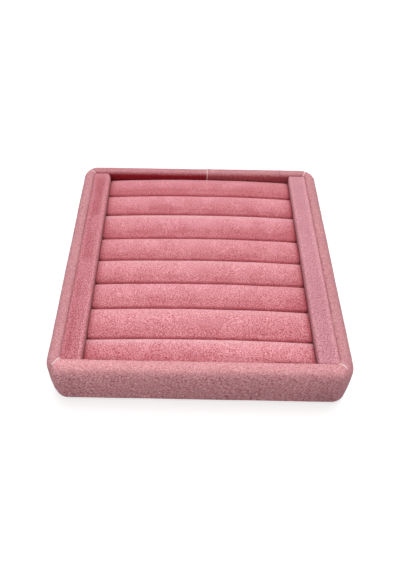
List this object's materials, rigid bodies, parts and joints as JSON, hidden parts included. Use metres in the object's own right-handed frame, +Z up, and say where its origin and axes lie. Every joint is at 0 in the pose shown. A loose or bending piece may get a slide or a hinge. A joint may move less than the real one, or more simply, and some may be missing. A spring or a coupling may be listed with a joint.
{
  "type": "ring display tray",
  "caption": "Shallow square tray with a padded velvet rim and a lift-out insert of soft velvet rolls that hold rings upright between them.",
  "frame": {"origin": "under the middle of the tray, on the surface that it stands on", "axes": "+Z up; -Y towards the front, which is the side away from the velvet's lap seam; +X to the right as seen from the front, along the rolls"},
  "size_m": [0.17, 0.18, 0.029],
  "materials": {
    "velvet": "short-pile velvet, dusty rose, with pale sheen at grazing angles and darker brushed patches",
    "lining": "flat flocked lining, matt",
    "foam": "open-cell foam, matt",
    "board": "raw fibreboard, matt",
    "card": "grey card, matt"
  },
  "bodies": {
    "tray": {"base_sheet": "lining", "base_board": "board", "floor_lining": "lining", "front_rail": "board", "rear_rail": "board", "left_rail": "board", "right_rail": "board", "front_padding": "foam", "rear_padding": "foam", "left_padding": "foam", "right_padding": "foam", "rim_cover": "velvet"},
    "insert": {"insert_board": "card", "left_strip_core": "board", "right_strip_core": "board", "left_strip_cover": "velvet", "right_strip_cover": "velvet", "roll_core_1": "foam", "roll_core_2": "foam", "roll_core_3": "foam", "roll_core_4": "foam", "roll_core_5": "foam", "roll_core_6": "foam", "roll_core_7": "foam", "roll_core_8": "foam", "roll_cover_1": "velvet", "roll_cover_2": "velvet", "roll_cover_3": "velvet", "roll_cover_4": "velvet", "roll_cover_5": "velvet", "roll_cover_6": "velvet", "roll_cover_7": "velvet", "roll_cover_8": "velvet"}
  },
  "joints": [
    {"name": "insert_lift", "type": "slide", "parent": "tray", "child": "insert", "axis": [0, 0, 1], "range_m": [0, 0.03]}
  ]
}
